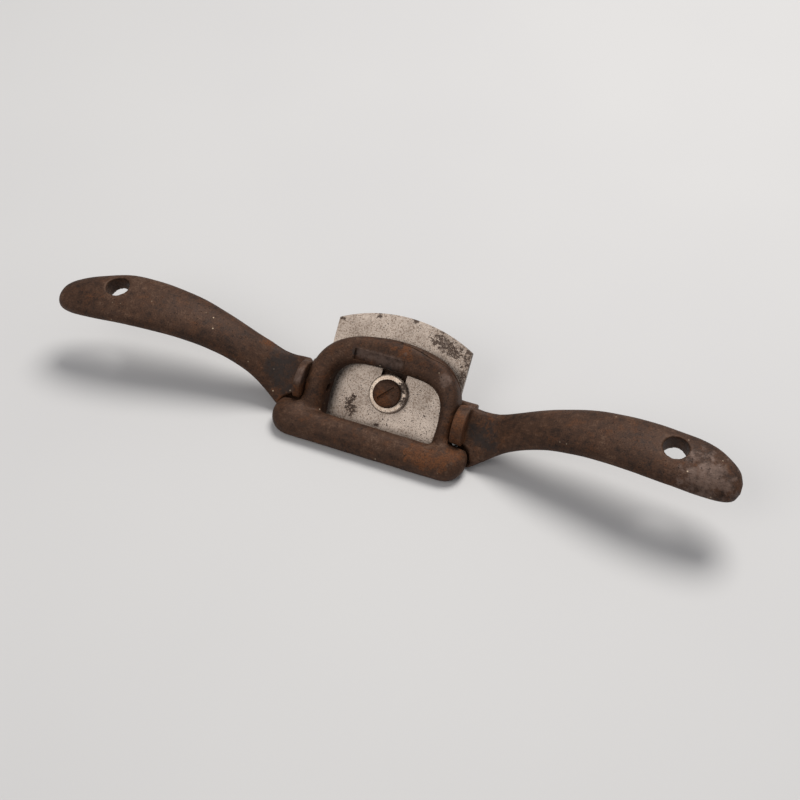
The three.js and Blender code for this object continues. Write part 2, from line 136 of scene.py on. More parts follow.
# %% Rings, lofts and turned shapes
def add_ring(bm, sides, matrix, reshape=None):
    """A circle of radius 1 placed by the matrix. reshape moves its points first."""
    verts = bmesh.ops.create_circle(bm, cap_ends=False, radius=1, segments=sides)["verts"]
    if reshape:
        for vert in verts:
            vert.co = reshape(vert.co)
    bmesh.ops.transform(bm, matrix=matrix, verts=verts)
    return list({edge for vert in verts for edge in vert.link_edges})


def join_rings(bm, rings):
    for ring, following in zip(rings, rings[1:]):
        bmesh.ops.bridge_loops(bm, edges=ring + following)
    for end in (rings[0], rings[-1]):
        bmesh.ops.holes_fill(bm, edges=end, sides=0)


def add_turned(bm, profile, frame_matrix, steps=64):
    """Spins a profile of (radius, height) points about the frame's third axis."""
    verts = [bm.verts.new((radius, 0, height)) for radius, height in profile]
    edges = [bm.edges.new(pair) for pair in zip(verts, verts[1:])]
    spun = bmesh.ops.spin(
        bm,
        geom=verts + edges,
        cent=(0, 0, 0),
        axis=(0, 0, 1),
        angle=2 * math.pi,
        steps=steps,
        use_merge=True,
        use_duplicate=False,
    )
    made = {v for v in spun["geom_last"] if isinstance(v, bmesh.types.BMVert)}
    island = set(verts) | made
    grown = list(island)
    while grown:
        vert = grown.pop()
        for edge in vert.link_edges:
            other = edge.other_vert(vert)
            if other not in island:
                island.add(other)
                grown.append(other)
    bmesh.ops.transform(bm, matrix=frame_matrix, verts=list(island))


def add_rod(bm, radius, length, matrix, sides=48, bevel=0.0):
    """A rod along the matrix's third axis, from its origin, with bevelled ends."""
    made = bmesh.ops.create_cone(
        bm,
        cap_ends=True,
        segments=sides,
        radius1=radius,
        radius2=radius,
        depth=length,
        matrix=matrix @ Matrix.Translation((0, 0, length / 2)),
    )["verts"]
    if bevel:
        rims = [
            edge
            for edge in {e for v in made for e in v.link_edges}
            if len(edge.link_faces) == 2 and edge.calc_face_angle(0) > math.radians(60)
        ]
        bmesh.ops.bevel(
            bm,
            geom=rims,
            offset=bevel,
            affect="EDGES",
            segments=3,
            profile=0.5,
            material=-1,
        )


def extrude_outline(bm, verts, pull):
    """Fills the outline with one face and pulls it out by the vector."""
    face = bm.faces.new(verts)
    pulled = bmesh.ops.extrude_face_region(bm, geom=[face])["geom"]
    moved = [v for v in pulled if isinstance(v, bmesh.types.BMVert)]
    bmesh.ops.translate(bm, vec=pull, verts=moved)


def add_block(bm, low, high, matrix):
    middle = [(a + b) / 2 for a, b in zip(low, high)]
    size = [b - a for a, b in zip(low, high)]
    placed = matrix @ Matrix.Translation(middle) @ Matrix.Diagonal((*size, 1))
    bmesh.ops.create_cube(bm, size=1, matrix=placed)


# %% [markdown]
# ## From a rough shape to a casting
# A sand casting has no sharp inside corners, because sand can't hold them. Lofts, discs and plates
# are pushed through each other, and a voxel remesh turns them into one skin. Smoothing that skin
# rounds every corner a little and gives the soft fillets of cast iron. Holes are cut with a Boolean
# between two remeshes, so their rims are rounded too.

# %% Skins, cuts and finished pieces
def temporary_object(bm, label):
    mesh = bpy.data.meshes.new(label)
    bm.to_mesh(mesh)
    bm.free()
    made = bpy.data.objects.new(label, mesh)
    bpy.context.scene.collection.objects.link(made)
    return made


def applied(piece):
    """A bmesh of the object with its modifiers applied. The object itself goes away."""
    bpy.context.view_layer.update()
    graph = bpy.context.evaluated_depsgraph_get()
    bm = bmesh.new()
    bm.from_object(piece, graph)
    bpy.data.objects.remove(piece)
    return bm


def combined(bm, cutter_bm, operation):
    bmesh.ops.recalc_face_normals(bm, faces=bm.faces)
    bmesh.ops.recalc_face_normals(cutter_bm, faces=cutter_bm.faces)
    piece = temporary_object(bm, "cut piece")
    tool = temporary_object(cutter_bm, "cutting shape")
    boolean = piece.modifiers.new("Cut", "BOOLEAN")
    boolean.operation = operation
    boolean.solver = "EXACT"
    boolean.object = tool
    cut = applied(piece)
    bpy.data.objects.remove(tool)
    return cut


def cut_away(bm, cutter_bm):
    return combined(bm, cutter_bm, "DIFFERENCE")


def joined_with(bm, added_bm):
    return combined(bm, added_bm, "UNION")


def skinned(bm, voxel, rounds):
    bmesh.ops.recalc_face_normals(bm, faces=bm.faces)
    piece = temporary_object(bm, "skin")
    remesh = piece.modifiers.new("Skin", "REMESH")
    remesh.mode = "VOXEL"
    remesh.voxel_size = voxel
    if rounds:
        relax = piece.modifiers.new("Relax", "SMOOTH")
        relax.factor = 0.5
        relax.iterations = rounds
    return applied(piece)


def cut_level(bm, height):
    """Takes off everything below that height above the bench."""
    below = bmesh.new()
    add_block(below, (-200, -60, -30), (200, 60, height), sole_frame)
    return cut_away(bm, below)


def make_uneven(bm, size, depth, seed):
    """Moves the skin in and out a little, as a cast surface does, with lumps of that size."""
    bm.normal_update()
    shift = Vector((seed, 2.7 * seed, -1.3 * seed))
    moves = [noise.noise(vert.co / size + shift) * depth for vert in bm.verts]
    for vert, move in zip(bm.verts, moves):
        vert.co += vert.normal * move


def finish_piece(bm, name, body, node, material, sharp_angle=180, bevel=0.0):
    """Puts the mesh in metres at the origin, shades it, and lets it ride on its body."""
    bmesh.ops.remove_doubles(bm, verts=bm.verts, dist=1e-4)
    bmesh.ops.recalc_face_normals(bm, faces=bm.faces)
    bmesh.ops.scale(bm, vec=(MM, MM, MM), verts=bm.verts)
    mesh = bpy.data.meshes.new(name)
    bm.to_mesh(mesh)
    bm.free()
    for polygon in mesh.polygons:
        polygon.use_smooth = True
    if sharp_angle < 180:
        mesh.set_sharp_from_angle(angle=math.radians(sharp_angle))
    piece = bpy.data.objects.new(name, mesh)
    bpy.context.scene.collection.objects.link(piece)
    mesh.materials.append(material)
    if bevel:
        soften = piece.modifiers.new("Soft edges", "BEVEL")
        soften.width = bevel * MM
        soften.segments = 3
        soften.profile = 0.5
        soften.limit_method = "ANGLE"
        soften.angle_limit = math.radians(28)
        soften.harden_normals = True
    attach(piece, body)
    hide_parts(node)
    print(name, len(mesh.polygons), "faces")
    return piece


# %% [markdown]
# ## Node helpers
# Materials are built from shader nodes. These helpers place a node, set or link its inputs, and
# build a node group with named inputs and outputs. A group is made once and placed in each
# material with its own values.

# %% Placing and linking nodes
def place(tree, kind, values=None, **settings):
    node = tree.nodes.new(kind)
    for setting, value in settings.items():
        setattr(node, setting, value)
    for socket, value in (values or {}).items():
        if isinstance(value, bpy.types.NodeSocket):
            tree.links.new(value, node.inputs[socket])
        else:
            node.inputs[socket].default_value = value
    return node


def calculate(tree, operation, a, b=0.0, clamp=False):
    made = place(tree, "ShaderNodeMath", {0: a, 1: b}, operation=operation, use_clamp=clamp)
    return made.outputs[0]


def step_between(tree, value, low, high):
    """Rises smoothly from 0 to 1 as the value goes from low to high."""
    values = {"Value": value, "From Min": low, "From Max": high}
    made = place(tree, "ShaderNodeMapRange", values, interpolation_type="SMOOTHSTEP")
    return made.outputs["Result"]


def mix_colours(tree, amount, a, b):
    # inputs 6 and 7 and output 2 are the Mix node's colour sockets
    made = place(tree, "ShaderNodeMix", {0: amount, 6: a, 7: b}, data_type="RGBA")
    return made.outputs[2]


def noise_of(tree, position, scale, detail=4.0, roughness=0.55, distortion=0.0):
    values = {"Vector": position, "Scale": scale, "Detail": detail}
    values.update({"Roughness": roughness, "Distortion": distortion})
    return place(tree, "ShaderNodeTexNoise", values).outputs["Fac"]


def new_group(name, inputs, outputs):
    group = bpy.data.node_groups.new(name, "ShaderNodeTree")
    for label, kind, value in inputs:
        socket = group.interface.new_socket(label, in_out="INPUT", socket_type=kind)
        if value is not None:
            socket.default_value = value
    for label, kind in outputs:
        group.interface.new_socket(label, in_out="OUTPUT", socket_type=kind)
    entry = group.nodes.new("NodeGroupInput")
    leave = group.nodes.new("NodeGroupOutput")
    return group, entry.outputs, leave.inputs


def use_group(tree, group, values):
    return place(tree, "ShaderNodeGroup", values, node_tree=group).outputs


FLOAT, VECTOR, COLOUR = "NodeSocketFloat", "NodeSocketVector", "NodeSocketColor"

# %% [markdown]
# ## Shared effects
# Three effects are used by several finishes. "Blotch" is a ragged patch round a point, for stains,
# rust, painted shade and a painted sheen in one place. "Iron patina" is the brown skin that old
# bare
# iron grows: patches of dark and lighter brown, orange rust in places, tiny pale specks, and paler
# edges where hands rubbed it. It also paints shade, darkening given hollows and corners where shade
# falls, and polished places that turn lighter, partly from rubbing and partly as a painted sheen.
# "Worn steel" is a ground plate that has pitted and stained.

# %% Blotch
blotch_group, entry, leave = new_group(
    "Blotch",
    [
        ("Position", VECTOR, None),
        ("Centre", VECTOR, None),
        ("Reach", FLOAT, 0.005),
        ("Ragged", FLOAT, 0.002),
        ("Grain", FLOAT, 600.0),
    ],
    [("Mask", FLOAT)],
)
tree = blotch_group
wobble = place(
    tree,
    "ShaderNodeTexNoise",
    {"Vector": entry["Position"], "Scale": entry["Grain"], "Detail": 5.0, "Roughness": 0.65},
)
centred = place(
    tree,
    "ShaderNodeVectorMath",
    {0: wobble.outputs["Color"], 1: (0.5, 0.5, 0.5)},
    operation="SUBTRACT",
)
spread = place(tree, "ShaderNodeVectorMath", {0: centred.outputs[0]}, operation="SCALE")
tree.links.new(calculate(tree, "MULTIPLY", entry["Ragged"], 6.0), spread.inputs["Scale"])
moved = place(
    tree,
    "ShaderNodeVectorMath",
    {0: entry["Position"], 1: spread.outputs[0]},
    operation="ADD",
)
gap = place(
    tree, "ShaderNodeVectorMath", {0: moved.outputs[0], 1: entry["Centre"]}, operation="DISTANCE"
).outputs["Value"]
share = calculate(tree, "DIVIDE", gap, entry["Reach"])
tree.links.new(step_between(tree, share, 1.15, 0.55), leave["Mask"])

# %% Iron patina
patina_group, entry, leave = new_group(
    "Iron patina",
    [
        ("Position", VECTOR, None),
        ("Edge", FLOAT, 0.0),
        ("Painted shade", FLOAT, 0.0),
        ("Polish and sheen", FLOAT, 0.0),
        ("Dark", COLOUR, (0.017, 0.0088, 0.0055, 1)),
        ("Brown", COLOUR, (0.062, 0.029, 0.0155, 1)),
        ("Worn", COLOUR, (0.118, 0.066, 0.041, 1)),
        ("Rust", COLOUR, (0.17, 0.06, 0.02, 1)),
        ("Shade colour", COLOUR, (0.021, 0.017, 0.0155, 1)),
        ("Handled and sheen", COLOUR, (0.128, 0.083, 0.064, 1)),
        ("Rust amount", FLOAT, 0.3),
        ("Specks", FLOAT, 0.5),
    ],
    [("Color", COLOUR), ("Roughness", FLOAT), ("Height", FLOAT)],
)
tree = patina_group
patches = noise_of(tree, entry["Position"], 55.0, 6.0, 0.62, 0.3)
mottle = noise_of(tree, entry["Position"], 420.0, 6.0, 0.66)
grain = noise_of(tree, entry["Position"], 1700.0, 4.0, 0.7)
tone = calculate(tree, "MULTIPLY", patches, 0.3)
tone = calculate(tree, "ADD", tone, calculate(tree, "MULTIPLY", mottle, 0.36))
tone = calculate(tree, "ADD", tone, calculate(tree, "MULTIPLY", grain, 0.34))
colour = mix_colours(tree, step_between(tree, tone, 0.36, 0.54), entry["Dark"], entry["Brown"])
colour = mix_colours(tree, step_between(tree, tone, 0.51, 0.64), colour, entry["Worn"])
rust_noise = noise_of(tree, entry["Position"], 190.0, 10.0, 0.78, 0.5)
rust_wanted = calculate(tree, "MULTIPLY", entry["Rust amount"], 0.2)
rust_level = calculate(tree, "ADD", rust_noise, rust_wanted)
rust_mask = step_between(tree, rust_level, 0.5, 0.85)
rust_tone = mix_colours(tree, step_between(tree, grain, 0.3, 0.62), entry["Brown"], entry["Rust"])
colour = mix_colours(tree, calculate(tree, "MULTIPLY", rust_mask, 0.85), colour, rust_tone)
rubbed = calculate(tree, "MULTIPLY", entry["Edge"], step_between(tree, mottle, 0.3, 0.6))
colour = mix_colours(tree, calculate(tree, "MULTIPLY", rubbed, 0.5), colour, entry["Worn"])
# painted shade: the given hollows and corners are darkened towards near black, standing in for the
# shade that falls there
painted_shade = calculate(tree, "MULTIPLY", entry["Painted shade"], step_between(tree, mottle, 0.32, 0.55))
colour = mix_colours(tree, painted_shade, colour, entry["Shade colour"])
# polish and painted sheen: the given places turn lighter and smoother, partly a rubbed polish and
# partly a painted sheen where the light glints
polish_and_sheen = calculate(tree, "MULTIPLY", entry["Polish and sheen"], step_between(tree, mottle, 0.2, 0.7))
colour = mix_colours(tree, polish_and_sheen, colour, entry["Handled and sheen"])
pores = step_between(tree, noise_of(tree, entry["Position"], 1150.0, 2.0, 0.5), 0.36, 0.28)
colour = mix_colours(tree, calculate(tree, "MULTIPLY", pores, 0.75), colour, entry["Dark"])
cells = place(tree, "ShaderNodeTexVoronoi", {"Vector": entry["Position"], "Scale": 420.0})
speck = step_between(tree, cells.outputs["Distance"], 0.16, 0.08)
thin_out = step_between(tree, noise_of(tree, entry["Position"], 210.0, 2.0), 0.58, 0.66)
speck = calculate(tree, "MULTIPLY", speck, calculate(tree, "MULTIPLY", thin_out, entry["Specks"]))
colour = mix_colours(tree, speck, colour, (0.6, 0.47, 0.33, 1))
tree.links.new(colour, leave["Color"])
rough = calculate(tree, "ADD", calculate(tree, "MULTIPLY", mottle, 0.25), 0.45)
rough = calculate(tree, "ADD", rough, calculate(tree, "MULTIPLY", rust_mask, 0.2))
rough = calculate(tree, "SUBTRACT", rough, calculate(tree, "MULTIPLY", polish_and_sheen, 0.15), True)
tree.links.new(rough, leave["Roughness"])
height = calculate(tree, "MULTIPLY", mottle, 0.5)
height = calculate(tree, "ADD", height, calculate(tree, "MULTIPLY", grain, 0.4))
height = calculate(tree, "ADD", height, calculate(tree, "MULTIPLY", rust_mask, 0.2))
height = calculate(tree, "SUBTRACT", height, calculate(tree, "MULTIPLY", pores, 0.35))
tree.links.new(height, leave["Height"])

# %% Worn steel
steel_group, entry, leave = new_group(
    "Worn steel",
    [
        ("Position", VECTOR, None),
        ("Bright", COLOUR, (0.66, 0.58, 0.51, 1)),
        ("Dull", COLOUR, (0.2, 0.15, 0.12, 1)),
        ("Stain", COLOUR, (0.085, 0.05, 0.034, 1)),
        ("Pitting", FLOAT, 0.4),
        ("Stained", FLOAT, 0.0),
    ],
    [("Color", COLOUR), ("Roughness", FLOAT), ("Metal", FLOAT), ("Height", FLOAT)],
)
tree = steel_group
clouds = noise_of(tree, entry["Position"], 90.0, 4.0, 0.55, 0.3)
fine = noise_of(tree, entry["Position"], 640.0, 8.0, 0.85)
dust = noise_of(tree, entry["Position"], 1500.0, 3.0, 0.6)
tone = calculate(tree, "MULTIPLY", clouds, 0.22)
tone = calculate(tree, "ADD", tone, calculate(tree, "MULTIPLY", fine, 0.28))
tone = calculate(tree, "ADD", tone, calculate(tree, "MULTIPLY", dust, 0.5))
colour = mix_colours(tree, step_between(tree, tone, 0.42, 0.55), entry["Dull"], entry["Bright"])
level = calculate(tree, "MULTIPLY", fine, 0.55)
level = calculate(tree, "ADD", level, calculate(tree, "MULTIPLY", dust, 0.45))
level = calculate(tree, "ADD", level, calculate(tree, "MULTIPLY", entry["Stained"], 0.13))
level = calculate(tree, "ADD", level, calculate(tree, "MULTIPLY", entry["Pitting"], 0.06))
marks = step_between(tree, level, 0.6, 0.67)
film = step_between(tree, level, 0.5, 0.62)
film_colour = mix_colours(tree, 0.5, entry["Dull"], entry["Stain"])
colour = mix_colours(tree, calculate(tree, "MULTIPLY", film, 0.5), colour, film_colour)
colour = mix_colours(tree, calculate(tree, "MULTIPLY", marks, 0.9), colour, entry["Stain"])
tree.links.new(colour, leave["Color"])
rough = calculate(tree, "ADD", calculate(tree, "MULTIPLY", dust, 0.3), 0.26)
rough = calculate(tree, "ADD", rough, calculate(tree, "MULTIPLY", marks, 0.3), True)
tree.links.new(rough, leave["Roughness"])
metal = calculate(tree, "SUBTRACT", 0.72, calculate(tree, "MULTIPLY", marks, 0.6))
tree.links.new(metal, leave["Metal"])
height = calculate(tree, "SUBTRACT", calculate(tree, "MULTIPLY", dust, 0.4), marks)
tree.links.new(height, leave["Height"])


# %% [markdown]
# ## Finishes
# Each finish has its own Principled shader. The groups feed its colour, roughness and bump,
# and the plain settings stay on the shader. Patterns read Object coordinates, so they stay put on
# each piece when it moves.

# %% Start a finish
def new_finish(name):
    material = bpy.data.materials.new(name)
    material.use_nodes = True
    tree = material.node_tree
    tree.nodes.clear()
    output = tree.nodes.new("ShaderNodeOutputMaterial")
    shader = tree.nodes.new("ShaderNodeBsdfPrincipled")
    tree.links.new(shader.outputs["BSDF"], output.inputs["Surface"])
    coordinates = tree.nodes.new("ShaderNodeTexCoord")
    centred = place(tree, "ShaderNodeMapping", {"Vector": coordinates.outputs["Object"]})
    return material, tree, shader, centred.outputs["Vector"]


def add_bump(tree, shader, height, distance, strength=1.0):
    values = {"Height": height, "Distance": distance, "Strength": strength}
    bump = place(tree, "ShaderNodeBump", values)
    tree.links.new(bump.outputs["Normal"], shader.inputs["Normal"])


def blotch(tree, position, centre_mm, reach_mm, ragged_mm, grain=600.0):
    values = {
        "Position": position,
        "Centre": Vector(centre_mm) * MM,
        "Reach": reach_mm * MM,
        "Ragged": ragged_mm * MM,
        "Grain": grain,
    }
    return use_group(tree, blotch_group, values)["Mask"]


def rounded_parts(tree, low, high):
    """Where the skin bends out sharply, from its pointiness."""
    geometry = place(tree, "ShaderNodeNewGeometry")
    return step_between(tree, geometry.outputs["Pointiness"], low, high)


def strongest(tree, masks):
    total = masks[0]
    for mask in masks[1:]:
        total = calculate(tree, "MAXIMUM", total, mask)
    return total


# %% Cast iron
def iron_finish(name, painted_shade_spots, rusts, rust_level, polished_and_sheen_spots=()):
    """The first list paints shade into hollows and corners, the second adds rust, and the last
    marks polished places whose lighter colour is partly a painted sheen. Each is a list of (centre,
    reach, ragged) places, in millimetres.
    """
    material, tree, shader, position = new_finish(name)
    # polished places, lighter partly as a painted sheen
    polish_and_sheen_masks = [blotch(tree, position, *spot, 300.0) for spot in polished_and_sheen_spots] or [0.0]
    # painted shade in hollows and corners
    painted_shade = strongest(tree, [blotch(tree, position, *spot, 260.0) for spot in painted_shade_spots])
    rust = strongest(tree, [blotch(tree, position, *spot, 420.0) for spot in rusts])
    values = {
        "Position": position,
        "Edge": rounded_parts(tree, 0.51, 0.56),
        "Painted shade": calculate(tree, "MULTIPLY", painted_shade, 0.85),
        "Polish and sheen": strongest(tree, polish_and_sheen_masks),
        "Rust amount": calculate(tree, "ADD", rust_level, rust),
        "Specks": 0.7,
    }
    skin = use_group(tree, patina_group, values)
    tree.links.new(skin["Color"], shader.inputs["Base Color"])
    tree.links.new(skin["Roughness"], shader.inputs["Roughness"])
    shader.inputs["Metallic"].default_value = 0.25
    shader.inputs["Specular IOR Level"].default_value = 0.25
    add_bump(tree, shader, skin["Height"], 0.00025, 0.9)
    return material


def on_bed(x, up, out):
    return bed_frame @ Vector((x, up, out))


def on_sole(x, behind, above):
    return sole_frame @ Vector((x, behind, above))


stock_iron = iron_finish(
    "stock iron",
    # painted shade in the scooped handle roots beside the ears
    [
        (on_sole(-43, 6, 13), 8, 2.5),
        (on_sole(-40, 0, 10), 5, 2),
        (on_sole(40, 3, 11), 6, 2),
        (on_sole(43, -1, 12), 5, 2),
    ],
    [
        (on_sole(31.5, 0, 17), 6, 1.5),
        (on_sole(31.5, -3, 11), 5, 1.5),
        (on_sole(30, 10, 17), 4, 1.5),
        (on_sole(-31.5, -3, 11), 5, 1.5),
        (on_sole(-39, -4, 8), 4, 1.5),
        (on_sole(-52, 11, 17), 4, 2),
        (on_sole(41, 4, 14), 5, 2),
    ],
    0.1,
    # the right handle's tip and a spot on the left ear: lighter and smoother, partly polish and
    # partly a painted sheen where the light glints
    [
        (on_sole(122, -4, 31), 10, 6),
        (on_sole(-32.7, 0, 18), 3.5, 1),
    ],
)
hoop_iron = iron_finish(
    "hoop iron",
    # painted shade: a painted shadow at the flat spot's left step and painted shade on the arch's
    # lower inner side
    [(on_bed(-14.5, 27, 9), 2, 0.7), (on_bed(-2, 23.5, 5), 6, 1.5)],
    [
        (on_sole(20, -13, 9), 6, 3),
        (on_sole(29, -12, 8), 5, 2.5),
        (on_sole(33, -8, 9), 4, 2),
        (on_sole(28.9, -3, 11), 3, 1.5),
        (on_bed(4, 32, 11), 4, 2.5),
        (on_bed(28.5, 10, 9), 4, 1.2),
        (on_bed(-30.5, 9, 8), 3.5, 1),
    ],
    0.14,
    # the flat spot on the arch and two small spots: lighter and smoother, partly polish and partly
    # a painted sheen
    [(on_bed(x, 26.6, 9.0), 2.4, 0.25) for x in (-12.4, -10, -7.5, -5, -2.5, 0, 2.5)]
    + [(on_bed(4.5, 31, 10), 1.0, 0.6), (on_bed(22, 25.5, 11), 3, 1)],
)


# %% Steel
def steel_finish(name, stains, pitting, bright, dull):
    material, tree, shader, position = new_finish(name)
    stained = strongest(tree, [blotch(tree, position, *spot) for spot in stains])
    values = {
        "Position": position,
        "Bright": bright,
        "Dull": dull,
        "Pitting": pitting,
        "Stained": stained,
    }
    skin = use_group(tree, steel_group, values)
    tree.links.new(skin["Color"], shader.inputs["Base Color"])
    tree.links.new(skin["Roughness"], shader.inputs["Roughness"])
    tree.links.new(skin["Metal"], shader.inputs["Metallic"])
    add_bump(tree, shader, skin["Height"], 0.00014, 0.7)
    return material


cutter_steel = steel_finish(
    "cutter steel",
    [
        (on_bed(-12.9, 4.4, 0), 2.6, 1.8, 900.0),
        (on_bed(-14.5, 6.8, 0), 2.0, 1.6, 900.0),
        (on_bed(-13.4, 9.0, 0), 1.4, 1.4, 900.0),
        (on_bed(13.5, 38.6, 0), 3.2, 2.6, 800.0),
        (on_bed(17.3, 37.5, 0), 3.2, 2.6, 800.0),
        (on_bed(20.8, 35.6, 0), 2.6, 2.2, 800.0),
        (on_bed(26.6, 38.6, 0), 3.2, 2.4, 700.0),
        (on_bed(27.0, 33.5, 0), 3.4, 2.6, 700.0),
        (on_bed(26.5, 28, 0), 2.4, 2.0, 700.0),
        (on_bed(-26.0, 37.6, 0), 1.2, 0.8, 700.0),
        (on_bed(-11.6, 42.2, 0), 1.1, 0.8, 700.0),
        (on_bed(2.6, 43.8, 0), 1.3, 0.8, 700.0),
        (on_bed(-21.5, 20.0, 0), 2.2, 1.4, 700.0),
        (on_bed(-1.7, 1.6, 0), 1.6, 1.2, 500.0),
    ],
    0.5,
    (0.56, 0.472, 0.4, 1),
    (0.17, 0.127, 0.098, 1),
)
washer_steel = steel_finish(
    "washer steel",
    [(on_bed(5.5, 18, 2), 3.0, 1.5, 600.0), (on_bed(6.5, 13, 2), 2.0, 1.5, 600.0)],
    0.45,
    (0.92, 0.77, 0.63, 1),
    (0.4, 0.3, 0.225, 1),
)
screw_rust = iron_finish(
    # painted shade at the cap screw's lower end, inside the bed
    "screw rust", [(on_bed(0, 14, -10), 4, 1)], [(on_bed(-1, 12.5, 5), 4, 1.5)], 0.35
)
spring_steel = steel_finish(
    "spring steel",
    [(on_bed(0, 24, 0), 3.0, 1.5, 600.0)],
    0.3,
    (0.25, 0.22, 0.2, 1),
    (0.12, 0.1, 0.09, 1),
)

# %% [markdown]
# ## The stock
# The stock is the main casting: two handles that rise like a gull's wings, an ear on each side for
# the hoop's pivot, a sloping bed and a heel. A handle is a loft. Its sections are wide and tilted
# with the bed at the root, flatter further out, and close to a point at the tip. At the root the
# top is scooped a little, which is where the thumbs go.

# %% Handles
HALF_LENGTH = cad_box[1][0] / MM
# distance out, middle behind the edge, height, half width, half thickness, tilt, scoop
HANDLE = [
    (31.5, 2.7, 7.2, 12.8, 4.6, 50, 0.35),
    (35, 2.7, 7.5, 12.4, 4.4, 47, 0.45),
    (39, 3.3, 8.5, 11.0, 4.3, 42, 0.5),
    (44, 4.4, 10.5, 9.4, 4.4, 34, 0.45),
    (50, 5.7, 13.8, 8.3, 4.7, 24, 0.25),
    (57, 6.1, 17.5, 7.9, 4.9, 15, 0.1),
    (66, 6.3, 21.4, 8.3, 5.0, 10, 0.0),
    (80, 6.0, 25.3, 9.5, 5.0, 8, 0.0),
    (95, 4.3, 28.0, 10.4, 4.8, 8, 0.0),
    (110, 2.6, 28.8, 10.6, 4.4, 8, 0.0),
    (121, 1.3, 28.1, 9.8, 4.2, 8, 0.0),
    (128, 0.4, 27.0, 7.9, 3.9, 8, 0.0),
    (132, 0.0, 26.2, 5.3, 3.2, 8, 0.0),
    (HALF_LENGTH - 0.05, -0.1, 25.9, 1.8, 1.4, 8, 0.0),
]
# how each handle differs from those stations: distance out, further behind, wider
HANDED = {
    -1: [
        (31, 0, 0),
        (66, 0, 0),
        (95, 0.45, 0.4),
        (108, 0.4, 0.6),
        (120, -0.7, -0.3),
        (134, -1.0, -0.7),
    ],
    1: [
        (31, -0.6, -0.3),
        (46, -0.6, -0.5),
        (62, 0, 0),
        (108, 0.1, 0.1),
        (122, 0.6, 0.4),
        (134, 0.2, 0.1),
    ],
}
HANDLE_RINGS = 64
HANDLE_SIDES = 40
SQUARE_SECTION = 0.86  # below 1, a circle grows fuller shoulders


def fuller(value):
    return math.copysign(abs(value) ** SQUARE_SECTION, value)


def add_handle(bm, side):
    rings = []
    first, last = HANDLE[0][0], HANDLE[-1][0]
    for i in range(HANDLE_RINGS + 1):
        share = math.sin(i / HANDLE_RINGS * math.pi / 2) ** 0.9
        x = first + (last - first) * share
        behind, above, half, thick, tilt, scoop = smooth_between(HANDLE, x)
        further, wider = smooth_between(HANDED[side], x)
        behind += further
        half += wider

        def section(point):
            across, rise = fuller(point.x), fuller(point.y)
            if rise > 0:
                rise *= 1 - scoop * rise
            return Vector((0, half * across, thick * rise))

        turn = Matrix.Rotation(math.radians(tilt), 4, "X")
        middle = Matrix.Translation((side * x, behind, above))
        rings.append(add_ring(bm, HANDLE_SIDES, sole_frame @ middle @ turn, section))
    join_rings(bm, rings)


# %% [markdown]
# The bed is a wedge: its outline in side view is drawn as one face and extruded from cheek to
# cheek. The plate above it is narrower than the cutter. Each ear is a disc about the pivot, on a
# web that grows out of the wedge.

# %% Bed, heel and ears
GAP = 0.3  # between pieces that move past each other
CUTTER_THICKNESS = 2.1
BED_FACE = -CUTTER_THICKNESS - GAP
BED_PLATE = 5.6
HEEL_FRONT, HEEL_BACK = 4.2, 17.5
WEDGE_TOP, BED_TOP = 19.5, 31.5
BED_HALF_WIDTH = 21.5
EAR_INNER = {-1: 31.0, 1: 29.3}
EAR_OUTER = {-1: 34.1, 1: 34.0}
EAR_RADIUS = 7.9


def bed_point(up, out):
    """A point of the cutter's frame, as behind and above in the sole's frame."""
    point = sole_frame.inverted() @ on_bed(0, up, out)
    return point.y, point.z


def add_side_view(bm, outline, x0, x1):
    """Extrudes an outline of (behind, above) points from x0 to x1."""
    verts = [bm.verts.new(on_sole(x0, *point)) for point in outline]
    extrude_outline(bm, verts, (x1 - x0, 0, 0))


def add_bed(bm):
    wedge = [
        (HEEL_FRONT, 0),
        (HEEL_BACK - 1.2, 0),
        (HEEL_BACK, 1.2),
        (HEEL_BACK, 4.6),
        bed_point(WEDGE_TOP, BED_FACE - BED_PLATE + 0.5),
        bed_point(WEDGE_TOP, BED_FACE),
        bed_point(5.1, BED_FACE),
    ]
    add_side_view(bm, wedge, 0.4 - EAR_OUTER[-1], EAR_OUTER[1] - 0.4)
    low = (-BED_HALF_WIDTH, WEDGE_TOP - 8, BED_FACE - BED_PLATE)
    high = (BED_HALF_WIDTH, BED_TOP, BED_FACE)
    plate = bmesh.new()
    add_block(plate, low, high, Matrix())
    upright = [e for e in plate.edges if abs(e.verts[0].co.z - e.verts[1].co.z) > 1]
    corners = [e for e in upright if e.verts[0].co.y > WEDGE_TOP]
    bmesh.ops.bevel(
        plate, geom=corners, offset=5, affect="EDGES", segments=8, profile=0.5, material=-1
    )
    bmesh.ops.transform(plate, matrix=bed_frame, verts=plate.verts)
    mesh = bpy.data.meshes.new("plate")
    plate.to_mesh(mesh)
    plate.free()
    bm.from_mesh(mesh)
    bpy.data.meshes.remove(mesh)


def add_ear(bm, side):
    outward = outward_frame(side * EAR_INNER[side], side)
    add_rod(bm, EAR_RADIUS, EAR_OUTER[side] - EAR_INNER[side], outward, 64, 0.3)
    web = [
        bed_point(PIVOT_UP - EAR_RADIUS + 0.5, PIVOT_OUT),
        bed_point(6.8, BED_FACE - 1),
        (HEEL_FRONT + 3, 1.5),
        (HEEL_BACK - 2.5, 1.5),
        bed_point(WEDGE_TOP - 1.5, BED_FACE - 2.5),
        bed_point(PIVOT_UP + EAR_RADIUS - 0.3, PIVOT_OUT),
    ]
    inner, outer = side * (EAR_INNER[side] + 0.1), side * (EAR_OUTER[side] - 0.1)
    add_side_view(bm, web, min(inner, outer), max(inner, outer))


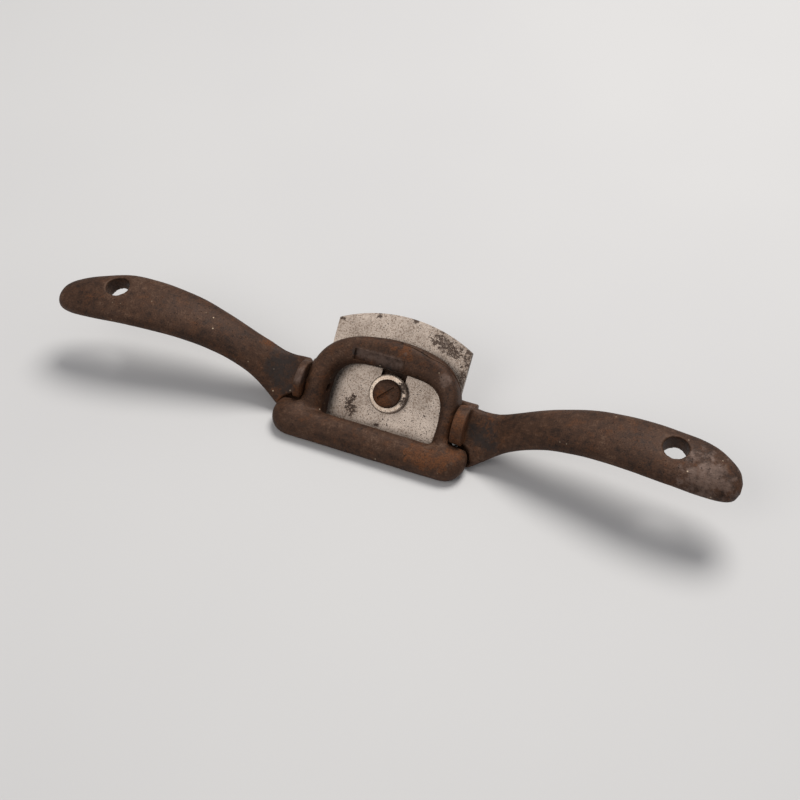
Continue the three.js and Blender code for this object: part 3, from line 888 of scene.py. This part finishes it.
# %% [markdown]
# The toe bar belongs to the hoop, but the stock needs room for its swing, so the bar's shape is
# made first and a grown copy of it cuts that room. The handles are cut before they get their skin,
# so that they don't reach into the throat or down to the bench. The holes come between two skins.

# %% Toe bar, which also cuts its own room
BAR_LEFT, BAR_RIGHT = -40.0, 37.7
BAR_END_LENGTH = 8.4
MOUTH = 1.2
BAR_MIDDLE = Vector((-9.1, 4.6))
BAR_OUTLINE = [
    (-MOUTH, 0),
    (-13.8, 0),
    (-15.5, 0.8),
    (-16.4, 2.6),
    (-16.2, 4.8),
    (-14.7, 7.0),
    (-12.4, 8.6),
    (-9.8, 9.3),
    (-7.2, 8.9),
    (-5.4, 7.4),
    (-4.6, 5.6),
]
BAR_END_RINGS = 12
KNOB_RADII = (8.0, 7.8, 4.8)
KNOB_BEHIND, KNOB_ABOVE = -7.5, 5.0


def add_bar_ring(bm, side, bow, grown):
    tip = BAR_RIGHT if side > 0 else -BAR_LEFT
    x = side * (tip - BAR_END_LENGTH * (1 - bow) + grown)
    scale = max((1 - bow**2.2) ** (1 / 2.2), 0.12)
    middle = BAR_MIDDLE + Vector((0.8, 0)) * bow**2
    verts = []
    for corner in BAR_OUTLINE:
        out = Vector(corner) - BAR_MIDDLE
        point = middle + out.normalized() * (out.length * scale + grown)
        verts.append(bm.verts.new(on_sole(x, *point)))
    return [bm.edges.new(pair) for pair in zip(verts, verts[1:] + verts[:1])]


def add_toe_bar(bm, grown=0.0):
    """The bar between its two ends, and the round knob at each end."""
    bows = [math.sin(i / BAR_END_RINGS * math.pi / 2) for i in range(BAR_END_RINGS + 1)]
    rings = [add_bar_ring(bm, -1, bow, grown) for bow in reversed(bows)]
    rings += [add_bar_ring(bm, 1, bow, grown) for bow in bows]
    join_rings(bm, rings)
    for end, side in ((BAR_LEFT, -1), (BAR_RIGHT, 1)):
        middle = on_sole(end - side * KNOB_RADII[0], KNOB_BEHIND, KNOB_ABOVE)
        size = Matrix.Diagonal((*(radius + grown for radius in KNOB_RADII), 1))
        knob = Matrix.Translation(middle) @ size
        bmesh.ops.create_uvsphere(bm, u_segments=40, v_segments=24, radius=1, matrix=knob)


# %% Build the stock
HOLE_OUT = {-1: 110.6, 1: 108.8}
HOLE_BEHIND = {-1: 5.3, 1: 4.6}
HOLE_RADIUS = 4.6
CAP_HOLE_RADIUS, THUMB_HOLE_RADIUS = 3.2, 3.0
CASTING_VOXEL = 0.47
HALF_CLOSED = math.radians(1.25)

handles = bmesh.new()
for side in (-1, 1):
    add_handle(handles, side)
room = bmesh.new()
add_block(room, (-1 - EAR_INNER[-1], -40, -20), (1 + EAR_INNER[1], 60, 60), sole_frame)
handles = cut_away(handles, room)
stock_bm = cut_level(handles, 0.6)
add_bed(stock_bm)
for side in (-1, 1):
    add_ear(stock_bm, side)
stock_bm = skinned(stock_bm, CASTING_VOXEL, 2)
print("rough stock", len(stock_bm.faces), "faces")

# %% Cut the stock's holes and the bar's room
cuts = bmesh.new()
for side in (-1, 1):
    _, above, _, _, tilt, _ = smooth_between(HANDLE, HOLE_OUT[side])
    middle = Matrix.Translation((side * HOLE_OUT[side], HOLE_BEHIND[side], above))
    turn = Matrix.Rotation(math.radians(tilt), 4, "X")
    start = sole_frame @ middle @ turn @ Matrix.Translation((0, 0, -12))
    add_rod(cuts, HOLE_RADIUS, 24, start, 64)
for up, radius in ((CAP_SCREW_UP, CAP_HOLE_RADIUS), (THUMB_UP, THUMB_HOLE_RADIUS)):
    add_rod(cuts, radius, 30, bed_frame @ Matrix.Translation((0, up, -29)), 64)
stock_bm = cut_away(stock_bm, cuts)
swing = bmesh.new()
add_toe_bar(swing, 0.75)
about = Matrix.Translation(pivot_at)
swung = about @ Matrix.Rotation(HALF_CLOSED, 4, "X") @ about.inverted()
bmesh.ops.transform(swing, matrix=swung, verts=swing.verts)
swing = skinned(swing, 0.6, 1)
stock_bm = cut_away(stock_bm, swing)
stock_bm = skinned(stock_bm, CASTING_VOXEL, 3)
make_uneven(stock_bm, 9.0, 0.12, 3.1)
for vert in stock_bm.verts:
    vert.co.z = max(vert.co.z, 0.0)  # the heel stays flat on the bench
finish_piece(stock_bm, "stock_casting", "stock_body", "stock", stock_iron)

# %% [markdown]
# ## The throat hoop
# The hoop is a second casting: two arms and an arch in one bead, standing over the cutter, and the
# straight toe bar. The bead's line is drawn in the cutter's frame. Its section is a squarish oval,
# a little wider below.

# %% Hoop bead
# across, up the cutter, half width, lowest and highest above the cutter
HOOP = [
    (-26.7, -5.0, 5.4, 4.9, 8.6),
    (-26.5, -1.0, 5.0, 1.3, 9.4),
    (-26.4, 3.5, 4.7, 0.95, 10.6),
    (-26.4, 8.0, 4.5, 0.95, 11.3),
    (-26.3, 12.5, 4.5, 1.0, 11.8),
    (-25.6, 17.5, 4.6, 1.4, 11.6),
    (-22.9, 22.5, 4.7, 2.1, 11.0),
    (-17.8, 26.2, 4.9, 2.8, 10.4),
    (-10.5, 28.1, 5.2, 3.3, 9.9),
    (0.0, 28.9, 5.6, 3.4, 9.8),
    (10.5, 28.3, 5.4, 3.3, 9.9),
    (17.9, 26.4, 4.9, 2.8, 10.4),
    (22.9, 22.4, 4.3, 2.1, 11.0),
    (25.3, 17.5, 3.7, 1.5, 11.6),
    (26.0, 12.5, 3.3, 1.2, 11.8),
    (26.1, 7.0, 3.2, 1.0, 11.2),
    (26.0, 2.5, 3.6, 0.95, 10.2),
    (26.0, -1.5, 4.2, 1.7, 9.2),
    (26.2, -5.0, 5.0, 4.9, 8.6),
]
HOOP_RINGS = 120
TOP_ROUND, FOOT_SQUARE = 0.74, 0.42
BEAD_TAPER = 0.1


def hoop_line():
    """The bead's stations from the left arm to the right, each with its distance first."""
    length, line = 0.0, []
    for k, row in enumerate(HOOP):
        if k:
            length += math.dist(row[:2], HOOP[k - 1][:2])
        line.append((length, *row))
    return line


def bead_section(point, half, tall):
    power = TOP_ROUND if point.y > 0 else FOOT_SQUARE
    across = math.copysign(abs(point.x) ** power, point.x)
    rise = math.copysign(abs(point.y) ** power, point.y)
    return Vector((across * half * (1 - BEAD_TAPER * rise), 0, rise * tall))


def add_bead(bm):
    line = hoop_line()
    rings = []
    for i in range(HOOP_RINGS + 1):
        distance = line[-1][0] * i / HOOP_RINGS
        x, up, half, low, high = smooth_between(line, distance)
        ahead = smooth_between(line, min(distance + 0.05, line[-1][0]))
        behind = smooth_between(line, max(distance - 0.05, 0))
        along = math.atan2(ahead[1] - behind[1], ahead[0] - behind[0])
        place_ring = Matrix.Translation((x, up, (low + high) / 2))
        turn = Matrix.Rotation(along - math.pi / 2, 4, "Z")
        tall = (high - low) / 2
        rings.append(
            add_ring(bm, 40, bed_frame @ place_ring @ turn, lambda p: bead_section(p, half, tall))
        )
    join_rings(bm, rings)


def soften_near(bm, centre, reach, rounds):
    """Relaxes the skin inside a ball, which turns a sharp inside corner into a broad fillet."""
    verts = [vert for vert in bm.verts if (vert.co - centre).length < reach]
    for _ in range(rounds):
        bmesh.ops.smooth_vert(
            bm, verts=verts, factor=0.5, use_axis_x=True, use_axis_y=True, use_axis_z=True
        )


# %% Build the hoop
PIN_RADIUS = 1.6
HOOP_VOXEL = CASTING_VOXEL * 0.85
hoop_bm = bmesh.new()
add_bead(hoop_bm)
for side in (-1, 1):
    bmesh.ops.bisect_plane(
        hoop_bm,
        geom=hoop_bm.verts[:] + hoop_bm.edges[:] + hoop_bm.faces[:],
        plane_co=(side * (EAR_INNER[side] - GAP), 0, 0),
        plane_no=(side, 0, 0),
        clear_outer=True,
    )
bmesh.ops.holes_fill(hoop_bm, edges=hoop_bm.edges, sides=0)
add_toe_bar(hoop_bm)
hoop_bm = skinned(hoop_bm, HOOP_VOXEL, 4)
for side, across in ((-1, -29.5), (1, 29.0)):
    soften_near(hoop_bm, on_sole(across, -7.5, 9.5), 8.5, 26)
    soften_near(hoop_bm, on_sole(side * 22.5, -7.5, 10.0), 5.0, 16)
print("rough hoop", len(hoop_bm.faces), "faces")

# %% Cut the hoop's clearances
cuts = bmesh.new()
for side in (-1, 1):
    outward = outward_frame(side * (EAR_INNER[side] - GAP), side)
    add_rod(cuts, EAR_RADIUS + 0.5, 30, outward, 96)
hoop_bm = cut_away(hoop_bm, cuts)
cuts = bmesh.new()
add_rod(cuts, PIN_RADIUS + 0.1, 70, outward_frame(-35), 48)
thumb_hole = bed_frame @ Matrix.Translation((0, THUMB_UP, -5))
add_rod(cuts, THUMB_HOLE_RADIUS + 0.6, 13.2, thumb_hole, 64)
hoop_bm = cut_away(hoop_bm, cuts)
under = bmesh.new()
add_block(under, (-60, -4, -19.2), (60, 76, 0.8), bed_frame)
hoop_bm = cut_away(hoop_bm, under)
hoop_bm = cut_level(hoop_bm, 0)
hoop_bm = skinned(hoop_bm, HOOP_VOXEL, 2)
make_uneven(hoop_bm, 8.0, 0.1, 7.4)

# %% [markdown]
# Two small features are added to the finished skin, so that they stay crisp. One is the flat spot
# on the arch's front, a shallow cut with a tilted box. The other is the parting line on the arch's
# right shoulder, a thin bead left where the two halves of the sand mould met.

# %% Flat spot and parting line
FLAT_EDGE_UP, FLAT_EDGE_OUT = 28.1, 9.45
FLAT_LEFT, FLAT_RIGHT, FLAT_WIDTH = -14.7, 5.3, 4.5
FLAT_TILT = math.radians(19)
flat_cut = bmesh.new()
flat_frame = bed_frame @ Matrix.Translation((0, FLAT_EDGE_UP, FLAT_EDGE_OUT))
flat_frame = flat_frame @ Matrix.Rotation(FLAT_TILT, 4, "X")
add_block(flat_cut, (FLAT_LEFT, -FLAT_WIDTH, 0), (FLAT_RIGHT, 0, 6), flat_frame)
hoop_bm = cut_away(hoop_bm, flat_cut)

# across, up the cutter, above its face
PARTING_LINE = [
    (1.0, 34.5, 7.3),
    (3.9, 34.05, 7.9),
    (6.9, 33.75, 8.1),
    (9.7, 33.15, 8.4),
    (14.6, 31.8, 8.9),
    (19.0, 30.8, 8.2),
    (22.6, 29.1, 6.7),
    (25.1, 26.75, 5.4),
    (27.0, 24.1, 4.8),
    (28.0, 21.9, 4.6),
]
PARTING_RINGS = 48
PARTING_RADIUS = 0.4
parting = bmesh.new()
rings = []
first, last = PARTING_LINE[0][0], PARTING_LINE[-1][0]
for i in range(PARTING_RINGS + 1):
    share = i / PARTING_RINGS
    x = first + (last - first) * share
    up, out = smooth_between(PARTING_LINE, x)
    later = smooth_between(PARTING_LINE, x + 0.05)
    earlier = smooth_between(PARTING_LINE, x - 0.05)
    heading = Vector((0.1, later[0] - earlier[0], later[1] - earlier[1]))
    turn = heading.to_track_quat("Z", "Y").to_matrix().to_4x4()
    thin = PARTING_RADIUS * math.sin(math.pi * min(max(share, 0.02), 0.98)) ** 0.4
    size = Matrix.Diagonal((thin, thin, 1, 1))
    rings.append(add_ring(parting, 10, bed_frame @ Matrix.Translation((x, up, out)) @ turn @ size))
join_rings(parting, rings)
bmesh.ops.recalc_face_normals(parting, faces=parting.faces)
hoop_bm = joined_with(hoop_bm, parting)
finish_piece(
    hoop_bm, "throat_hoop_casting", "hoop_body", "throat_hoop", hoop_iron, 38
)

# %% [markdown]
# ## The cutter
# The cutter is a steel plate with an arched top, a closed slot for its screw, and a bevel ground on
# the underside. Its outline is one face, thickened by an extrusion. A plane cuts the bevel, and a
# Boolean cuts the slot. A small bevel modifier softens the edges so that they catch the light.

# %% Build the cutter
CUTTER_WIDTH = 54.0
CORNER_UP, CROWN = 37.6, 6.6
SLOT_WIDTH, SLOT_FROM, SLOT_TO = 10.0, 8.0, 34.2
BEVEL_ANGLE = math.radians(30)
EDGE_FLAT = 0.12
ARC_STEPS = 48

half = CUTTER_WIDTH / 2
arc_radius = (half**2 + CROWN**2) / (2 * CROWN)
arc_centre = CORNER_UP + CROWN - arc_radius
spread = math.asin(half / arc_radius)
outline = [(-half, 0), (half, 0)]
for i in range(ARC_STEPS + 1):
    angle = spread - 2 * spread * i / ARC_STEPS
    outline.append((arc_radius * math.sin(angle), arc_centre + arc_radius * math.cos(angle)))
cutter_bm = bmesh.new()
verts = [cutter_bm.verts.new((x, up, 0)) for x, up in outline]
extrude_outline(cutter_bm, verts, (0, 0, -CUTTER_THICKNESS))
bmesh.ops.bisect_plane(
    cutter_bm,
    geom=cutter_bm.verts[:] + cutter_bm.edges[:] + cutter_bm.faces[:],
    plane_co=(0, 0, -EDGE_FLAT),
    plane_no=(0, -math.sin(BEVEL_ANGLE), -math.cos(BEVEL_ANGLE)),
    clear_outer=True,
)
bmesh.ops.holes_fill(cutter_bm, edges=cutter_bm.edges, sides=0)
slot_bm = bmesh.new()
round_end = SLOT_WIDTH / 2
for up in (SLOT_FROM + round_end, SLOT_TO - round_end):
    add_rod(slot_bm, round_end, 8, Matrix.Translation((0, up, -5)), 64)
cutter_bm = cut_away(cutter_bm, slot_bm)
middle_bm = bmesh.new()
add_block(
    middle_bm,
    (-round_end, SLOT_FROM + round_end, -5),
    (round_end, SLOT_TO - round_end, 5),
    Matrix(),
)
cutter_bm = cut_away(cutter_bm, middle_bm)
bmesh.ops.transform(cutter_bm, matrix=bed_frame, verts=cutter_bm.verts)
finish_piece(
    cutter_bm, "cutter_plate", "cutter_body", "cutter", cutter_steel, 30, 0.14
)

# %% [markdown]
# ## Washer and cap screw
# Both are turned shapes, so a profile of radius and height is spun about the screw's axis. The
# screw's slot is a Boolean cut.

# %% Build the washer
WASHER_HOLE, WASHER_RADIUS = 3.2, 7.6
WASHER_BASE, WASHER_TOP = 0.3, 2.3
cap_frame = bed_frame @ Matrix.Translation((0, CAP_SCREW_UP, 0))
washer_bm = bmesh.new()
add_turned(
    washer_bm,
    [
        (WASHER_HOLE, WASHER_BASE),
        (WASHER_RADIUS - 0.25, WASHER_BASE),
        (WASHER_RADIUS - 0.05, WASHER_BASE + 0.2),
        (WASHER_RADIUS, WASHER_BASE + 0.6),
        (WASHER_RADIUS - 0.05, WASHER_TOP - 0.5),
        (WASHER_RADIUS - 0.2, WASHER_TOP - 0.2),
        (WASHER_RADIUS - 0.45, WASHER_TOP - 0.05),
        (WASHER_RADIUS - 0.8, WASHER_TOP),
        (WASHER_HOLE, WASHER_TOP),
        (WASHER_HOLE, WASHER_BASE),
    ],
    cap_frame,
    96,
)
finish_piece(washer_bm, "clamp_washer", "cap_body", "cap_washer", washer_steel, 50)

# %% Build the cap screw
HEAD_BASE, HEAD_TOP = WASHER_TOP + GAP, 4.9
SCREW_RADIUS, HEAD_RADIUS = 3.1, 5.5
SCREW_SLOT_LENGTH, SCREW_SLOT_WIDTH, SCREW_SLOT_DEPTH = 7.8, 1.4, 0.9
SCREW_SLOT_TURN = math.radians(46)
SCREW_END = BED_FACE - 5.0
screw_bm = bmesh.new()
add_turned(
    screw_bm,
    [
        (0, SCREW_END),
        (2.4, SCREW_END),
        (SCREW_RADIUS, SCREW_END + 0.7),
        (SCREW_RADIUS, HEAD_BASE),
        (HEAD_RADIUS - 0.3, HEAD_BASE),
        (HEAD_RADIUS - 0.05, HEAD_BASE + 0.2),
        (HEAD_RADIUS, HEAD_BASE + 0.6),
        (HEAD_RADIUS - 0.05, HEAD_TOP - 1.0),
        (5.15, HEAD_TOP - 0.6),
        (4.4, HEAD_TOP - 0.28),
        (2.6, HEAD_TOP - 0.06),
        (0, HEAD_TOP),
    ],
    cap_frame,
    96,
)
bmesh.ops.remove_doubles(screw_bm, verts=screw_bm.verts, dist=1e-4)
slot_bm = bmesh.new()
add_block(
    slot_bm,
    (-SCREW_SLOT_LENGTH / 2, -SCREW_SLOT_WIDTH / 2, HEAD_TOP - SCREW_SLOT_DEPTH),
    (SCREW_SLOT_LENGTH / 2, SCREW_SLOT_WIDTH / 2, HEAD_TOP + 1),
    cap_frame @ Matrix.Rotation(SCREW_SLOT_TURN, 4, "Z"),
)
screw_bm = cut_away(screw_bm, slot_bm)
finish_piece(
    screw_bm, "cap_screw_turned", "cap_body", "cap_screw", screw_rust, 40, 0.1
)

# %% [markdown]
# ## The mouth adjuster
# The thumbscrew goes in from the back of the bed. Its knurled head is a ring of narrow grooves: a
# circle with every third point pulled in, extruded, with its rims bevelled. The spring is a small
# circle spun about the screw's axis while it climbs.

# %% Build the thumbscrew
THUMB_HEAD_RADIUS, THUMB_HEAD_THICK = 7.2, 4.6
THUMB_TOP = BED_FACE - BED_PLATE - GAP
THUMB_END = 6.2
KNURLS = 36
thumb_frame = bed_frame @ Matrix.Translation((0, THUMB_UP, 0))
thumb_bm = bmesh.new()
rings = []
head_rings = [
    (0, 0.55),
    (0.45, 0.0),
    (THUMB_HEAD_THICK - 0.45, 0.0),
    (THUMB_HEAD_THICK, 0.55),
]
for height, inset in head_rings:
    base = Matrix.Translation((0, 0, THUMB_TOP - THUMB_HEAD_THICK + height))

    def knurled(point):
        turn = math.atan2(point.y, point.x) / (2 * math.pi) * KNURLS
        groove = 0.28 * (1 - abs(2 * (turn % 1) - 1)) ** 1.5
        return point * (THUMB_HEAD_RADIUS - inset - groove)

    rings.append(add_ring(thumb_bm, KNURLS * 6, thumb_frame @ base, knurled))
join_rings(thumb_bm, rings)
shank_start = thumb_frame @ Matrix.Translation((0, 0, THUMB_TOP - THUMB_HEAD_THICK + 1))
shank_length = THUMB_END - (THUMB_TOP - THUMB_HEAD_THICK + 1)
add_rod(thumb_bm, 2.9, shank_length, shank_start, 48, 0.4)
finish_piece(
    thumb_bm, "mouth_thumbscrew_knurled", "thumbscrew_body", "mouth_thumbscrew",
    screw_rust, 35,
)

# %% Build the spring
WIRE_RADIUS, COIL_RADIUS, TURNS = 0.5, 3.95, 3
SPRING_FROM, SPRING_TO = BED_FACE + 0.8, 2.6
spring_bm = bmesh.new()
start = Matrix.Translation((COIL_RADIUS, 0, SPRING_FROM)) @ Matrix.Rotation(math.pi / 2, 4, "X")
wire = bmesh.ops.create_circle(
    spring_bm, cap_ends=True, radius=WIRE_RADIUS, segments=12, matrix=start
)["verts"]
steps = 40 * TURNS
bmesh.ops.spin(
    spring_bm,
    geom=spring_bm.faces[:],
    cent=(0, 0, 0),
    axis=(0, 0, 1),
    dvec=(0, 0, (SPRING_TO - SPRING_FROM) / steps),
    angle=2 * math.pi * TURNS,
    steps=steps,
    use_duplicate=False,
)
bmesh.ops.transform(spring_bm, matrix=thumb_frame, verts=spring_bm.verts)
spring = finish_piece(
    spring_bm, "mouth_spring_coil", "stock_body", "mouth_spring", spring_steel
)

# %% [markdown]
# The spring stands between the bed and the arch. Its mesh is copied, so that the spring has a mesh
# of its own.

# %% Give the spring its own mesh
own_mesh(spring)

# %% [markdown]
# ## Pivot pins
# Each pin is a plain steel rod, driven from inside the arm out into the ear.

# %% Build the pins
for side, node in ((-1, "pivot_pin_left"), (1, "pivot_pin_right")):
    pin_bm = bmesh.new()
    inner = EAR_INNER[side] - 5.0
    outward = outward_frame(side * inner, side)
    add_rod(pin_bm, PIN_RADIUS, EAR_OUTER[side] - 0.5 - inner, outward, 48, 0.25)
    finish_piece(pin_bm, node + "_steel", "stock_body", node, screw_rust, 40)

# %% [markdown]
# ## Floor, light and camera
# The tool stands on a pale floor under one large soft light, a little behind and above, so the
# shadows fall gently towards the viewer. A weaker light fills the front.

# %% Floor
FLOOR_SIZE = 3.0
floor_bm = bmesh.new()
bmesh.ops.create_grid(floor_bm, x_segments=1, y_segments=1, size=FLOOR_SIZE)
floor_mesh = bpy.data.meshes.new("floor")
floor_bm.to_mesh(floor_mesh)
floor_bm.free()
floor = bpy.data.objects.new("floor", floor_mesh)
bpy.context.scene.collection.objects.link(floor)
floor_material, tree, shader, position = new_finish("pale floor")
floor_tone = step_between(tree, noise_of(tree, position, 3.0, 3.0), 0.3, 0.7)
floor_colour = mix_colours(tree, floor_tone, (0.60, 0.59, 0.585, 1), (0.63, 0.62, 0.61, 1))
tree.links.new(floor_colour, shader.inputs["Base Color"])
shader.inputs["Roughness"].default_value = 0.7
floor_mesh.materials.append(floor_material)


# %% Lights
SOFT_BOX_AT, FRONT_FILL_AT = (0.1, 0.48, 1.0), (-0.38, -0.8, 0.9)


def add_light(name, place_m, aim_m, size, power, colour):
    data = bpy.data.lights.new(name, "AREA")
    data.shape = "DISK"
    data.size = size
    data.energy = power
    data.color = colour
    lamp = bpy.data.objects.new(name, data)
    lamp.location = place_m
    lamp.rotation_euler = (Vector(aim_m) - Vector(place_m)).to_track_quat("-Z", "Y").to_euler()
    bpy.context.scene.collection.objects.link(lamp)


add_light("soft box", SOFT_BOX_AT, (0, 0, 0), 0.6, 10.0, (1.0, 0.985, 0.96))
add_light("front fill", FRONT_FILL_AT, (0, 0, 0), 0.7, 3.2, (1.0, 0.97, 0.94))
world = bpy.data.worlds.new("studio")
world.use_nodes = True
world.node_tree.nodes["Background"].inputs["Color"].default_value = (0.93, 0.95, 1.0, 1)
world.node_tree.nodes["Background"].inputs["Strength"].default_value = 0.35
bpy.context.scene.world = world
bpy.context.scene.view_settings.view_transform = "Standard"

# %% Camera
CAMERA_AZIMUTH, CAMERA_ELEVATION, CAMERA_ROLL = (math.radians(a) for a in (21.345, 48.003, 0.118))
CAMERA_DISTANCE, CAMERA_LENS = 469.1, 55.69
aim = Vector((5.316, 8.296, 10.756)) + Vector((0, edge_middle.y, 0))
back = Vector(
    (
        math.sin(CAMERA_AZIMUTH) * math.cos(CAMERA_ELEVATION),
        -math.cos(CAMERA_AZIMUTH) * math.cos(CAMERA_ELEVATION),
        math.sin(CAMERA_ELEVATION),
    )
)
right = Vector((math.cos(CAMERA_AZIMUTH), math.sin(CAMERA_AZIMUTH), 0))
above = back.cross(right)
facing = Matrix((right, above, back)).transposed().to_4x4()
facing = facing @ Matrix.Rotation(CAMERA_ROLL, 4, "Z")
camera_data = bpy.data.cameras.new("camera")
camera_data.lens = CAMERA_LENS
camera_data.sensor_width = 36.0
camera = bpy.data.objects.new("camera", camera_data)
camera.matrix_world = Matrix.Translation((aim + back * CAMERA_DISTANCE) * MM) @ facing
bpy.context.scene.collection.objects.link(camera)
bpy.context.scene.camera = camera
